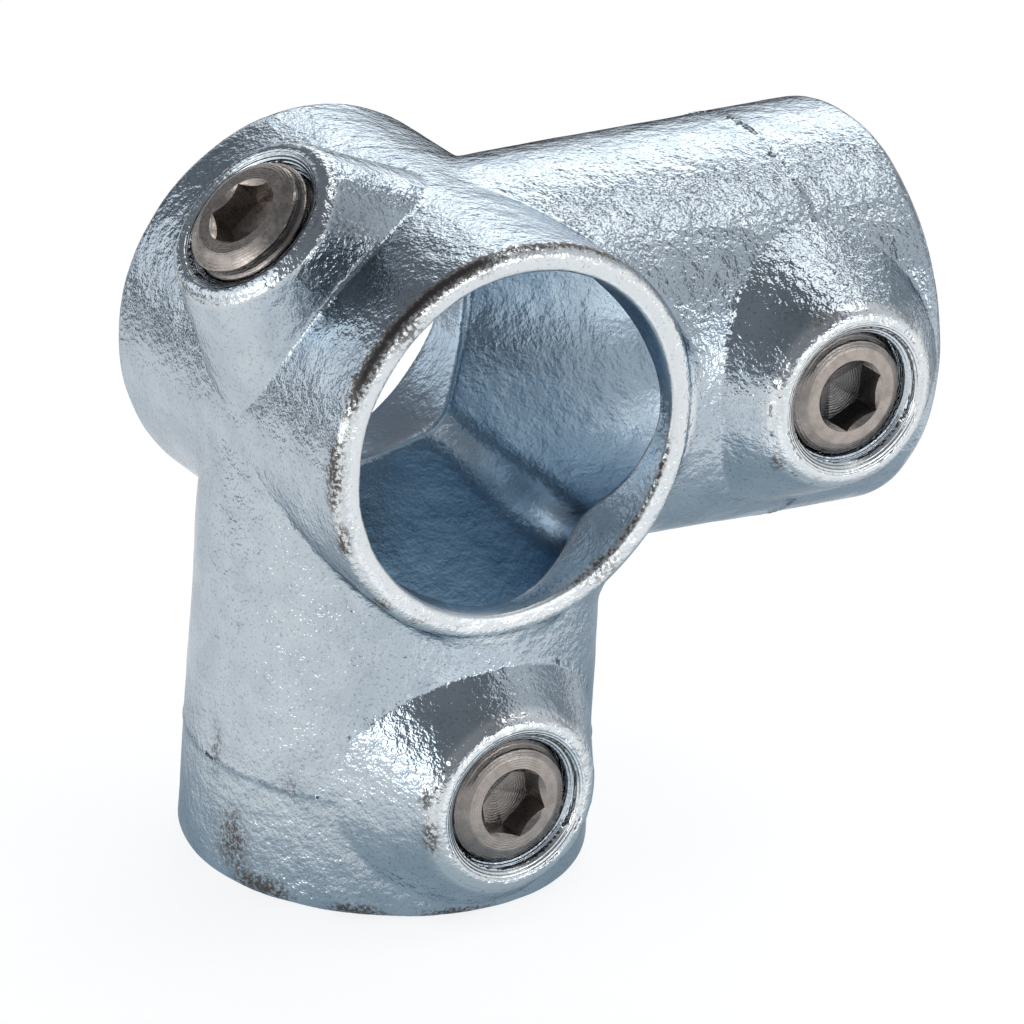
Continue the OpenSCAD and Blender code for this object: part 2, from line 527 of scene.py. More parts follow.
@dataclass(frozen=True)
class ZincFinish:
    """Bright zinc over a fine cast grain: white on rims, part wear and part painted highlight, with
    painted blue shade in the bores, painted dark patches and lines, and oxide in patches.

    A span holds the values, of a noise or of a mark on the mesh, between which a share changes.
    """

    bright: Colour = (0.52, 0.585, 0.635)
    dull: Colour = (0.465, 0.53, 0.585)
    # Brighter zinc for the rims: part wear, part painted highlight; along the ridge in the bores a painted
    # highlight only.
    wear_and_highlight: Colour = (0.76, 0.79, 0.80)
    # Painted shade in the bores: a blue tint that stands in for the light bouncing inside them.
    bore_shade_blue: Colour = (0.455, 0.575, 0.68)
    crevice: Colour = (0.22, 0.25, 0.28)
    oxide_and_shade: Colour = (0.135, 0.115, 0.10)
    # Near black for the ring's painted dark lines, where it mirrors dark surroundings.
    painted_rim_dark: Colour = (0.035, 0.032, 0.034)
    # Painted shade: dark patches where the metal mirrors dark surroundings.
    painted_shade: Colour = (0.13, 0.14, 0.16)
    grazing: Colour = (0.74, 0.77, 0.80)

    cloud_size: float = 5.0
    speck_size: float = 0.55
    wrinkle_size: float = 1.05
    wrinkle_depth: float = 0.225
    sand_size: float = 0.40
    sand_depth: float = 0.072
    peel_size: float = 2.6
    peel_depth: float = 0.18
    ring_gap: float = 0.34
    ring_depth: float = 0.03

    cloud_span: Span = (0.35, 0.65)
    crevice_span: Span = (0.46, 0.25)
    crevice_share: float = 0.5
    shade_span: Span = (0.35, 0.60)
    shade_least: float = 0.45
    fray_span: Span = (0.24, 0.42)
    rim_dark_span: Span = (1.0, 1.4)
    pit_span: Span = (0.72, 0.80)
    pit_share: float = 0.6
    fleck_span: Span = (0.38, 0.60)
    stain_span: Span = (0.04, 0.5)
    stain_gain: float = 1.2
    stain_start: float = 0.75

    gloss_span: Span = (0.3, 0.7)
    gloss: Span = (0.07, 0.13)
    dirt_and_shade_metal: float = 0.25
    dirt_and_shade_rough: float = 0.35
    wear_and_highlight_rough: float = 0.05
    bore_rough: float = 0.22
    bore_calm: float = 0.65
    mouth_calm: float = 0.6
    wear_and_highlight_calm: float = 0.2

    def material(self) -> bpy.types.Material:
        """Builds the material."""
        material, sheet, shader = new_material("galvanised_casting")
        place = sheet.place()
        cloud = sheet.noise(place, self.cloud_size, detail=1.0, rough=0.6)
        sand = sheet.noise(place, self.sand_size, detail=1.0, rough=0.65)
        specks = sheet.noise(place, self.speck_size, detail=2.0, rough=0.7)
        # Oxide, pits and the ring's painted dark lines.
        dirt_and_shade = sheet.math("MAXIMUM", self.stains(sheet, specks), self.pits(sheet, specks))
        colour = self.colour(sheet, cloud, sand, specks)
        # Oxide turns into the painted dark line where the ring's arcs are strongest.
        dark = sheet.mix(sheet.ramp(sheet.attribute("oxide_and_shade"), *self.rim_dark_span), self.oxide_and_shade, self.painted_rim_dark)
        sheet.put(sheet.mix(dirt_and_shade, colour, dark), shader.inputs["Base Color"])
        sheet.put(self.grazing, shader.inputs["Specular Tint"])
        sheet.put(sheet.ramp(dirt_and_shade, 0.0, 1.0, 1.0, self.dirt_and_shade_metal), shader.inputs["Metallic"])
        sheet.put(self.roughness(sheet, cloud, dirt_and_shade), shader.inputs["Roughness"])
        sheet.put(self.relief(sheet, place, sand), shader.inputs["Normal"])
        return material

    def colour(self, sheet: Sheet, cloud: Socket, sand: Socket, specks: Socket) -> Socket:
        """Colour of the zinc without dirt, with its painted shade and painted highlights.

        Args:
            sheet: The material's node sheet.
            cloud: Broad changes of tone.
            sand: Finest grain.
            specks: Noise that breaks up the painted dark patches and the wear and painted highlight.

        Returns:
            The colour.
        """
        made = sheet.mix(sheet.ramp(cloud, *self.cloud_span), self.bright, self.dull)
        made = sheet.mix(sheet.ramp(sand, *self.crevice_span, 0.0, self.crevice_share), made, self.crevice)
        # Painted shade in patches, broken up by the specks.
        broken = sheet.ramp(specks, *self.shade_span, 1.0, self.shade_least)
        made = sheet.mix(sheet.math("MULTIPLY", sheet.attribute("painted_shade"), broken), made, self.painted_shade)
        # Painted blue shade in the bores, strongest towards the bottom of the lower bore.
        made = sheet.mix(sheet.attribute("inside"), made, self.bore_shade_blue)
        # Brighter zinc on the rims, part wear and part painted highlight, and a painted highlight along
        # the ridge in the bores.
        fray = sheet.ramp(specks, *self.fray_span)
        return sheet.mix(sheet.math("MULTIPLY", sheet.attribute("wear_and_highlight"), fray), made, self.wear_and_highlight)

    def roughness(self, sheet: Sheet, cloud: Socket, dirt_and_shade: Socket) -> Socket:
        """Roughness of the skin, which is duller where it has dirt and painted dark lines, where it is
        worn and painted bright, and inside a bore.
        """
        made = sheet.ramp(cloud, *self.gloss_span, *self.gloss)
        dulled = (
            (dirt_and_shade, self.dirt_and_shade_rough),
            (sheet.attribute("wear_and_highlight"), self.wear_and_highlight_rough),
            (sheet.attribute("calm"), self.bore_rough),
        )
        for share, gain in dulled:
            made = sheet.math("ADD", made, sheet.math("MULTIPLY", share, gain))
        return made

    def pits(self, sheet: Sheet, specks: Socket) -> Socket:
        """Small dark pits, left out in the bores."""
        pit = sheet.ramp(specks, *self.pit_span, 0.0, self.pit_share)
        return sheet.math("SUBTRACT", pit, sheet.attribute("calm"), clamp=True)

    def stains(self, sheet: Sheet, specks: Socket) -> Socket:
        """Oxide and the ring's painted dark lines, broken up into flecks towards the edge of each patch.
        """
        oxide_and_shade = sheet.attribute("oxide_and_shade")
        flecks = sheet.ramp(specks, *self.fleck_span)
        spread = sheet.math("SUBTRACT", sheet.math("MULTIPLY", oxide_and_shade, self.stain_gain), self.stain_start)
        share = sheet.math("ADD", flecks, spread, clamp=True)
        return sheet.math("MULTIPLY", share, sheet.ramp(oxide_and_shade, *self.stain_span), clamp=True)

    def relief(self, sheet: Sheet, place: Socket, sand: Socket) -> Socket:
        """The cast skin, softer in the bores, with turned rings at the mouths of the screw holes.

        Args:
            sheet: The material's node sheet.
            place: Coordinates in metres.
            sand: Finest grain.

        Returns:
            The surface direction.
        """
        mouth = sheet.attribute("mouth")
        full: Value = 1.0
        softened = (
            (sheet.attribute("calm"), self.bore_calm),
            (mouth, self.mouth_calm),
            (sheet.attribute("wear_and_highlight"), self.wear_and_highlight_calm),
        )
        for share, loss in softened:
            full = sheet.math("SUBTRACT", full, sheet.math("MULTIPLY", share, loss), clamp=True)
        height = sheet.math("MULTIPLY", sheet.noise(place, self.peel_size, detail=0.0), self.peel_depth)
        wrinkle = sheet.noise(place, self.wrinkle_size, detail=2.0, rough=0.55)
        height = sheet.math("ADD", height, sheet.math("MULTIPLY", wrinkle, self.wrinkle_depth))
        height = sheet.math("ADD", height, sheet.math("MULTIPLY", sand, self.sand_depth))
        height = sheet.math("MULTIPLY", height, full)
        turns = sheet.math("MULTIPLY", sheet.attribute("turned"), 2.0 * math.pi / self.ring_gap)
        rings = sheet.math("MULTIPLY", sheet.math("SINE", turns), mouth)
        height = sheet.math("ADD", height, sheet.math("MULTIPLY", rings, self.ring_depth))
        return sheet.bump(height, depth=1.0)


@dataclass(frozen=True)
class ScrewFinish:
    """Turned warm grey steel with fine rings on its faces, and painted shade in its recesses."""

    steel: Colour = (0.46, 0.405, 0.37)
    shade: Colour = (0.33, 0.29, 0.26)
    # Painted shade for the socket, the bevel and the thread's roots.
    recess_shade: Colour = (0.075, 0.082, 0.092)
    tone_size: float = 2.2
    tone_span: Span = (0.35, 0.7)
    ring_gap: float = 0.32
    ring_depth: float = 0.012
    wobble_size: float = 0.6
    wobble: float = 0.4
    grain_size: float = 0.35
    grain_depth: float = 0.015
    gloss_size: float = 0.5
    gloss_span: Span = (0.3, 0.7)
    gloss: Span = (0.22, 0.4)

    def material(self) -> bpy.types.Material:
        """Builds the material."""
        material, sheet, shader = new_material("screw_steel")
        place = sheet.place()
        tone = sheet.ramp(sheet.noise(place, self.tone_size, detail=4.0, rough=0.6), *self.tone_span)
        colour = sheet.mix(tone, self.steel, self.shade)
        # Painted shade in the screw's recesses.
        colour = sheet.mix(sheet.attribute("recess_shade"), colour, self.recess_shade)
        sheet.put(colour, shader.inputs["Base Color"])
        shader.inputs["Metallic"].default_value = 1.0
        mottle = sheet.noise(place, self.gloss_size, detail=3.0)
        sheet.put(sheet.ramp(mottle, *self.gloss_span, *self.gloss), shader.inputs["Roughness"])
        relief = sheet.bump(self.rings(sheet, place), self.ring_depth)
        relief = sheet.bump(sheet.noise(place, self.grain_size), self.grain_depth, relief)
        sheet.put(relief, shader.inputs["Normal"])
        return material

    def rings(self, sheet: Sheet, place: Socket) -> Socket:
        """Marks of the turning tool round the screw's axis, a little uneven."""
        parts = sheet.node("ShaderNodeSeparateXYZ")
        sheet.put(place, parts.inputs[0])
        across = sheet.math("POWER", parts.outputs[0], 2.0)
        across = sheet.math("ADD", across, sheet.math("POWER", parts.outputs[1], 2.0))
        wobble = sheet.math("MULTIPLY", sheet.noise(place, self.wobble_size), self.wobble * MM)
        radius = sheet.math("ADD", sheet.math("SQRT", across), wobble)
        turns = sheet.math("MULTIPLY", radius, 2.0 * math.pi / (self.ring_gap * MM))
        return sheet.math("MULTIPLY", sheet.math("SINE", turns), 0.5)


# Pieces


@dataclass
class ScrewHole:
    """A tapped hole through a boss."""

    axis: Array
    centre: Array
    face: float
    foot: float

    radius: float = 8.1
    thread_depth: float = 0.85
    pitch: float = 2.0
    bevel: float = 1.35
    flank: Span = (0.25, 0.9)

    def level(self, p: Array) -> Array:
        """Level of the hole's space, with its thread and bevelled mouth.

        Args:
            p: Points in millimetres.

        Returns:
            Values that are negative inside the hole.
        """
        r, h = about(p, self.axis, self.centre)
        side = unit(np.cross(self.axis, [0.0, 0.0, 1.0])).astype(np.float32)
        q = p - self.centre
        turn = np.arctan2(q @ np.cross(self.axis, side), q @ side) / (2.0 * math.pi)
        wave = np.abs(np.mod(h / self.pitch - turn, 1.0) - 0.5) * 2.0
        wall = r - self.radius - self.thread_depth * smoothstep(*self.flank, wave)
        mouth = (r - h - (self.radius - self.face + self.bevel)) * math.sqrt(0.5)
        return np.maximum(np.minimum(wall, mouth), self.foot - h)


@dataclass
class Boss:
    """A screw boss whose skirt spreads from its lip to an oval foot on the tube that carries it."""

    axis: Array
    along: Array
    centre: Array
    tube_r: float
    face: float
    foot_along: Span
    foot_across: float

    radius: float = 11.8
    rim: float = 1.8
    low: float = 12.5
    sink: float = 0.3
    shoulder: float = 1.08
    neck_in: float = 0.1

    def post(self, p: Array) -> Array:
        """Level of the round post with its rounded lip."""
        r, h = about(p, self.axis, self.centre)
        return rounded_disc(r, h, self.radius, self.low, self.face, self.rim)

    def skirt(self, p: Array) -> Array:
        """Level of the skirt, which is straight from the lip down to the oval foot.

        Args:
            p: Points in millimetres.

        Returns:
            Values that are negative inside the skirt.
        """
        q = p - self.centre
        h = q @ self.axis
        u = q @ self.along
        v = q @ np.cross(self.axis, self.along)
        r = np.maximum(np.hypot(u, v), 1e-3)
        half = np.where(u < 0, self.foot_along[0], self.foot_along[1])
        run = r / np.hypot(u / half, v / self.foot_across)
        base = np.sqrt(self.tube_r**2 - (run * v / r) ** 2) - self.sink
        top = self.face - self.shoulder
        neck = self.radius - self.neck_in
        edge = np.minimum(neck + (run - neck) * (top - h) / (top - base), run)
        return np.maximum(np.maximum(r - edge, h - top), self.low - h)


@dataclass
class OvalPatch:
    """A soft oval patch on the casting, used for oxide and for painted shade."""

    at: Point
    size: Point
    strength: float = 1.0

    def share(self, p: Array) -> Array:
        """How much of the patch each point carries.

        Args:
            p: Points in millimetres.

        Returns:
            Values from 0 to the patch's strength.
        """
        q = (p - np.array(self.at)) / np.array(self.size)
        return self.strength * np.exp(-np.einsum("ij,ij->i", q, q))


@dataclass
class RimDarkLine:
    """An arc of painted dark line on the sleeve's front rim, with oxide at its edges; angles run from the
    side socket upwards, in degrees.
    """

    first: float
    last: float
    radius: float
    front: float
    width: float
    strength: float
    fade: float = 9.0

    def share(self, p: Array) -> Array:
        """How much painted dark line each point carries.

        Args:
            p: Points in millimetres.

        Returns:
            Values from 0 to the arc's strength.
        """
        turn = np.degrees(np.arctan2(p[:, 2], p[:, 0]))
        r, front = about(p, Axis.FRONT.vector)
        run = smoothstep(self.first - self.fade, self.first + self.fade, turn)
        run = run * (1.0 - smoothstep(self.last - self.fade, self.last + self.fade, turn))
        away = ((r - self.radius) ** 2 + (front - self.front) ** 2) / self.width**2
        return self.strength * run * np.exp(-away)


@dataclass
class Casting:
    """The cast body: a through sleeve, two limbs and three bosses, blended into one skin."""

    through_r: float = 21.75
    socket_r: float = 21.7
    sleeve_r: float = 25.05
    sleeve_front: float = 25.5
    sleeve_back: float = 27.6
    reach: float = 61.7
    limb_start: float = 2.225
    root_r: float = 24.45
    mouth_r: float = 25.3
    sleeve_rim: float = 1.5
    mouth_rim: float = 2.2
    crotch_r: float = 8.0
    web_in: float = 0.3
    limb_face: float = 29.9
    limb_foot: Span = (16.2, 15.3)
    limb_across: float = 18.8
    hub_face: float = 33.0
    hub_foot: Span = (11.9, 11.9)
    hub_across: float = 18.3
    boss_at: float = 45.3
    hole_foot: float = 17.0

    sleeve_blend: float = 2.2
    boss_blend: float = 1.0
    lip_blend: float = 0.7
    rim_blend: float = 0.9
    ridge_blend: float = 7.0
    bore_blend: float = 1.3
    wave_size: float = 7.0
    wave_depth: float = 0.10
    ripple_ratio: float = 2.7
    ripple_share: float = 0.4
    wave_seed: int = 3
    ripple_seed: int = 4
    calm: Span = (9.3, 11.8)

    bore_edge: Span = (0.6, 1.6)
    # Depths below the middle over which the bores' painted blue shade and calmer skin grow, and their
    # least shares above.
    dim_below: Span = (16.0, 24.0)
    blue_least: float = 0.6
    calm_least: float = 0.75
    # Brighter zinc on the ring's front face, part wear and part painted highlight.
    ring_wear: Span = (0.6, 1.7)
    ring_fade: float = 0.8
    # Painted highlight along the ridge where the through bore meets the lower bore.
    crest_width: float = 1.1
    crest_top: float = -8.0
    crest_highlight: float = 0.6
    hub_wear: float = 0.45
    lip_reach: float = 13.0
    lip_depth: Span = (1.0, 1.9)
    lip_inner: Span = (8.1, 8.9)
    mouth_depth: Span = (3.0, 4.5)
    mouth_outer: Span = (9.5, 10.1)

    margin: float = 1.5
    band: float = 2.6
    parts: int = 16
    cell: float = 0.5
    triangles: int = 190000
    holes: List[ScrewHole] = field(default_factory=list)

    def sleeve(self, p: Array) -> Array:
        """Level of the sleeve's blank."""
        r, h = about(p, Axis.FRONT.vector)
        return rounded_disc(r, h, self.sleeve_r, -self.sleeve_back, self.sleeve_front, self.sleeve_rim)

    def limb(self, p: Array, axis: Axis) -> Array:
        """Level of a limb's blank, which widens towards its mouth."""
        r, h = about(p, axis.vector)
        size = self.root_r + (self.mouth_r - self.root_r) * h / self.reach
        return rounded_disc(r, h, size, self.limb_start, self.reach, self.mouth_rim)

    def elbow(self, p: Array, r: float, bend: float) -> Array:
        """Level of the elbow that turns from one limb into the other.

        Args:
            p: Points in millimetres.
            r: Radius of the elbow's tube.
            bend: Radius of the inside of the bend.

        Returns:
            Values that are negative inside the elbow.
        """
        ring = r + bend
        x = p[:, 0] - ring
        z = p[:, 2] + ring
        aside = np.where((x < 0) & (z > 0), np.hypot(x, z) - ring, np.where(x > -z, p[:, 2], p[:, 0]))
        past = np.maximum(p[:, 0], -p[:, 2]) - self.boss_at
        return np.maximum(np.hypot(aside, p[:, 1]) - r, past)

    def bosses(self) -> List[Boss]:
        """The bosses of the sleeve and of both limbs."""
        front = Axis.FRONT.vector
        up = Axis.HUB_SCREW.vector
        hub = Boss(up, front, 0.0 * up, self.sleeve_r, self.hub_face, self.hub_foot, self.hub_across)
        limb_r = self.root_r + (self.mouth_r - self.root_r) * self.boss_at / self.reach
        made = [hub]
        for axis in (Axis.SIDE, Axis.LOWER):
            centre = axis.vector * self.boss_at
            made.append(
                Boss(front, axis.vector, centre, limb_r, self.limb_face, self.limb_foot, self.limb_across)
            )
        return made

    def bore(self, p: Array, axis: Axis) -> Array:
        """Level of a socket's bore."""
        r, h = about(p, axis.vector)
        return np.maximum(r - self.socket_r, -h)

    def blank(self, p: Array) -> Form:
        """The outside of the casting, with every fillet."""
        made = sampled(self.sleeve, p)
        limbs = sampled(lambda q: self.limb(q, Axis.SIDE), p)
        limbs = joined(limbs, sampled(lambda q: self.limb(q, Axis.LOWER), p), self.sleeve_blend)
        web = sampled(lambda q: self.elbow(q, self.root_r - self.web_in, self.crotch_r), p)
        limbs = joined(limbs, web, self.sleeve_blend)
        made = joined(made, limbs, self.sleeve_blend)
        for boss in self.bosses():
            whole = joined(sampled(boss.post, p), sampled(boss.skirt, p), self.lip_blend)
            made = joined(made, whole, self.boss_blend)
        return made

    def space(self, p: Array) -> Form:
        """The space of all the bores, with a rounded ridge where they meet."""
        through = sampled(lambda q: about(q, Axis.FRONT.vector)[0] - self.through_r, p)
        side = sampled(lambda q: self.bore(q, Axis.SIDE), p)
        lower = sampled(lambda q: self.bore(q, Axis.LOWER), p)
        return joined(through, joined(side, lower, self.ridge_blend), self.bore_blend)

    def form(self, p: Array) -> Form:
        """The whole casting.

        Args:
            p: Points in millimetres.

        Returns:
            Distance and direction at the points.
        """
        p = p.astype(np.float32)
        made = cut(self.blank(p), self.space(p), self.rim_blend)
        near = np.full(len(p), np.inf, np.float32)
        for hole in self.holes:
            made = cut(made, sampled(hole.level, p), self.rim_blend)
            near = np.minimum(near, about(p, hole.axis, hole.centre)[0])
        waves = self.wave_depth * soft_noise(p, self.wave_size, self.wave_seed)
        ripple_size = self.wave_size / self.ripple_ratio
        waves += self.ripple_share * self.wave_depth * soft_noise(p, ripple_size, self.ripple_seed)
        return Form(made.d + waves * smoothstep(*self.calm, near), made.n)

    def rough_distance(self, p: Array) -> Array:
        """Quick distance to the casting without fillets, to find the cells near its skin."""
        out = self.sleeve(p)
        for boss in self.bosses():
            out = np.minimum(out, np.minimum(boss.post(p), boss.skirt(p)))
        void = about(p, Axis.FRONT.vector)[0] - self.through_r
        for axis in (Axis.SIDE, Axis.LOWER):
            out = np.minimum(out, self.limb(p, axis))
            void = np.minimum(void, self.bore(p, axis))
        out = np.minimum(out, self.elbow(p, self.root_r, self.crotch_r))
        for hole in self.holes:
            void = np.minimum(void, hole.level(p))
        return np.maximum(out, -void)

    def build(self) -> bpy.types.Object:
        """Nets the casting's skin.

        Returns:
            The mesh object, in the frame of the part.
        """
        cell = self.cell
        low = (-self.hub_face, -self.limb_face, -self.reach)
        high = (self.reach, self.sleeve_back, self.hub_face)
        planes = [np.arange(a - self.margin, b + self.margin, cell) for a, b in zip(low, high)]
        grid = np.stack(np.meshgrid(*planes, indexing="ij"), axis=-1).reshape(-1, 3).astype(np.float32)
        values = np.concatenate([self.rough_distance(part) for part in np.array_split(grid, self.parts)])
        near = np.flatnonzero(np.abs(values) < self.band)
        near_parts = np.array_split(near, self.parts)
        values[near] = np.concatenate([self.form(grid[part]).d for part in near_parts])
        vertices, faces = skin_of(values.reshape([len(line) for line in planes]), planes)
        vertices = self.settled(vertices, 2)
        made = mesh_from("casting_skin", vertices * MM, faces)
        LOG.info("casting netted: %d faces", len(faces))
        slim = made.modifiers.new("slim", "DECIMATE")
        slim.ratio = min(1.0, self.triangles / (2 * len(faces)))
        return self.finished(made)

    def settled(self, vertices: Array, times: int) -> Array:
        """Moves vertices onto the casting's surface.

        Args:
            vertices: Places in millimetres.
            times: Number of corrections.

        Returns:
            The moved places.
        """
        for _ in range(times):
            made = self.form(vertices)
            vertices = vertices - np.clip(made.d, -self.cell, self.cell)[:, None] * made.n
        return vertices

    def finished(self, made: bpy.types.Object) -> bpy.types.Object:
        """Applies the modifiers, settles the result and turns its shading to the true surface.

        Args:
            made: The netted skin.

        Returns:
            The same object with its final mesh.
        """
        bpy.context.view_layer.update()
        graph = bpy.context.evaluated_depsgraph_get()
        mesh = bpy.data.meshes.new_from_object(made.evaluated_get(graph))
        made.modifiers.clear()
        made.data = mesh
        flat = np.zeros(len(mesh.vertices) * 3, np.float32)
        mesh.vertices.foreach_get("co", flat)
        vertices = self.settled(flat.reshape(-1, 3) / MM, 1)
        mesh.vertices.foreach_set("co", (vertices * MM).astype(np.float32).ravel())
        mesh.update()
        mesh.polygons.foreach_set("use_smooth", np.ones(len(mesh.polygons), bool))
        normals = sampled(lambda q: self.form(q).d, vertices.astype(np.float32)).n
        mesh.normals_split_custom_set_from_vertices(unit(normals).tolist())
        self.mark(made, vertices)
        LOG.info("casting skin: %d triangles", len(mesh.polygons))
        return made

    def mark(self, made: bpy.types.Object, vertices: Array) -> None:
        """Stores what the finish needs to know about each place of the skin.

        Args:
            made: The casting.
            vertices: Its vertices in millimetres.
        """
        p = vertices.astype(np.float32)
        bore = smoothfall(*self.bore_edge, np.abs(self.space(p).d))
        lower = smoothstep(*self.dim_below, -p[:, 2])
        ring, front = about(p, Axis.FRONT.vector)
        # Brighter zinc: wear on the ring's front face that also stands in for its highlight.
        wear_and_highlight = smoothfall(*self.ring_wear, self.sleeve_front - front)
        wear_and_highlight = wear_and_highlight * smoothfall(self.sleeve_r, self.sleeve_r + self.ring_fade, ring)
        # Painted highlight along the crest of the ridge between the through bore and the lower bore.
        away = ((ring - self.through_r) ** 2 + self.bore(p, Axis.LOWER) ** 2) / self.crest_width**2
        wear_and_highlight = np.maximum(wear_and_highlight, self.crest_highlight * np.exp(-away) * (p[:, 2] < self.crest_top))
        mouth, turned = np.zeros(len(p)), np.zeros(len(p))
        for hole in self.holes:
            r, h = about(p, hole.axis, hole.centre)
            near = (r < self.lip_reach) & (h > 0.0)
            # Brighter lips, part wear and part painted highlight, weaker on the hub boss.
            lip = smoothfall(*self.lip_depth, hole.face - h) * smoothstep(*self.lip_inner, r)
            wear = 1.0 if hole.face < self.hub_face else self.hub_wear
            wear_and_highlight = np.maximum(wear_and_highlight, near * lip * wear)
            tapped = smoothfall(*self.mouth_depth, hole.face - h) * smoothfall(*self.mouth_outer, r)
            mouth = np.maximum(mouth, near * tapped)
            turned = np.where(near, r, turned)
        # Painted blue shade in the bores, growing towards the bottom of the lower bore.
        add_values(made, "inside", bore * (self.blue_least + (1.0 - self.blue_least) * lower))
        add_values(made, "calm", bore * (self.calm_least + (1.0 - self.calm_least) * lower))
        add_values(made, "wear_and_highlight", wear_and_highlight)
        add_values(made, "mouth", mouth)
        add_values(made, "turned", turned)
        add_values(made, "oxide_and_shade", self.oxide_and_shade(vertices))
        # Painted shade patches.
        add_values(made, "painted_shade", np.max([stain.share(vertices) for stain in self.shade_patches()], axis=0))

    def oxide_and_shade(self, vertices: Array) -> Array:
        """How much oxide and painted dark line each vertex carries."""
        patches = [stain.share(vertices) for stain in self.stains()]
        arcs = [arc.share(vertices) for arc in self.rim_dark_lines()]
        return np.max(patches + arcs, axis=0)

    def shade_patches(self) -> List[OvalPatch]:
        """Patches of painted shade, where the metal mirrors dark surroundings: on the hub boss's flank and
        on the lips' shoulders.
        """
        return [
            OvalPatch((-16.8, -10.8, 23.6), (5.4, 3.0, 5.4), 1.0),
            OvalPatch((-20.0, -11.6, 18.6), (3.0, 2.2, 3.0), 0.75),
            OvalPatch((38.5, -26.5, 8.5), (3.4, 2.6, 5.5), 0.45),
            OvalPatch((-2.0, -26.5, -34.0), (6.0, 2.6, 2.2), 0.35),
        ]

    def rim_dark_lines(self) -> List[RimDarkLine]:
        """Painted dark lines along the ring, where it mirrors dark surroundings: a broad line outside at
        the upper left, a fine one inside below.
        """
        return [
            RimDarkLine(98.0, 160.0, 24.80, 24.6, 1.00, 1.50),
            RimDarkLine(55.0, 98.0, 24.90, 24.5, 0.55, 1.15),
            RimDarkLine(-70.0, -8.0, 22.05, 25.0, 0.40, 1.00),
        ]

    def stains(self) -> List[OvalPatch]:
        """The oxide patches: on the lower limb's end and edge, round the ring, and beside the lips."""
        return [
            OvalPatch((-24.6, -5.0, -55.5), (2.5, 3.0, 4.2), 0.75),
            OvalPatch((-23.2, -10.0, -60.3), (3.2, 5.0, 1.8), 1.0),
            OvalPatch((-15.5, -19.5, -60.9), (4.0, 3.2, 1.3), 1.0),
            OvalPatch((-5.0, -24.6, -61.0), (6.0, 2.0, 0.9), 0.85),
            OvalPatch((-25.0, -1.0, -45.0), (2.0, 1.6, 4.5), 0.45),
            OvalPatch((-21.5, -13.0, -46.0), (2.0, 2.0, 3.0), 0.35),
            OvalPatch((-25.0, -24.4, 0.0), (1.2, 1.3, 6.5), 0.9),
            OvalPatch((-23.3, -24.4, -9.0), (1.3, 1.3, 4.0), 0.8),
            OvalPatch((-17.6, -24.3, -17.9), (1.6, 1.2, 1.6), 0.95),
            OvalPatch((-12.5, -24.8, -20.4), (2.2, 1.0, 1.0), 0.55),
            OvalPatch((-17.2, -24.6, 18.0), (4.0, 1.2, 4.0), 0.9),
            OvalPatch((-9.0, -24.6, 23.2), (4.5, 1.2, 1.3), 0.9),
            OvalPatch((1.0, -24.4, 24.9), (5.0, 1.0, 1.2), 0.7),
            OvalPatch((12.0, -24.3, 21.9), (4.0, 1.0, 2.4), 0.55),
            OvalPatch((12.6, -24.9, -18.0), (4.6, 1.0, 3.6), 0.6),
            OvalPatch((-11.2, -28.8, -47.6), (1.5, 1.2, 3.2), 0.65),
            OvalPatch((-11.6, -28.2, -42.8), (1.4, 1.2, 2.2), 0.6),
            OvalPatch((35.6, -28.3, -7.2), (1.3, 1.1, 2.2), 0.6),
            OvalPatch((49.0, -28.6, -11.2), (3.0, 1.0, 1.0), 0.6),
            OvalPatch((40.0, -28.6, 10.6), (2.6, 1.0, 1.4), 0.6),
            OvalPatch((52.5, -28.6, 8.6), (2.2, 1.0, 2.2), 0.55),
            OvalPatch((-29.4, 0.4, 18.6), (1.3, 1.8, 1.3), 0.75),
            OvalPatch((-30.0, 1.9, 14.8), (1.2, 1.6, 1.6), 0.75),
        ]


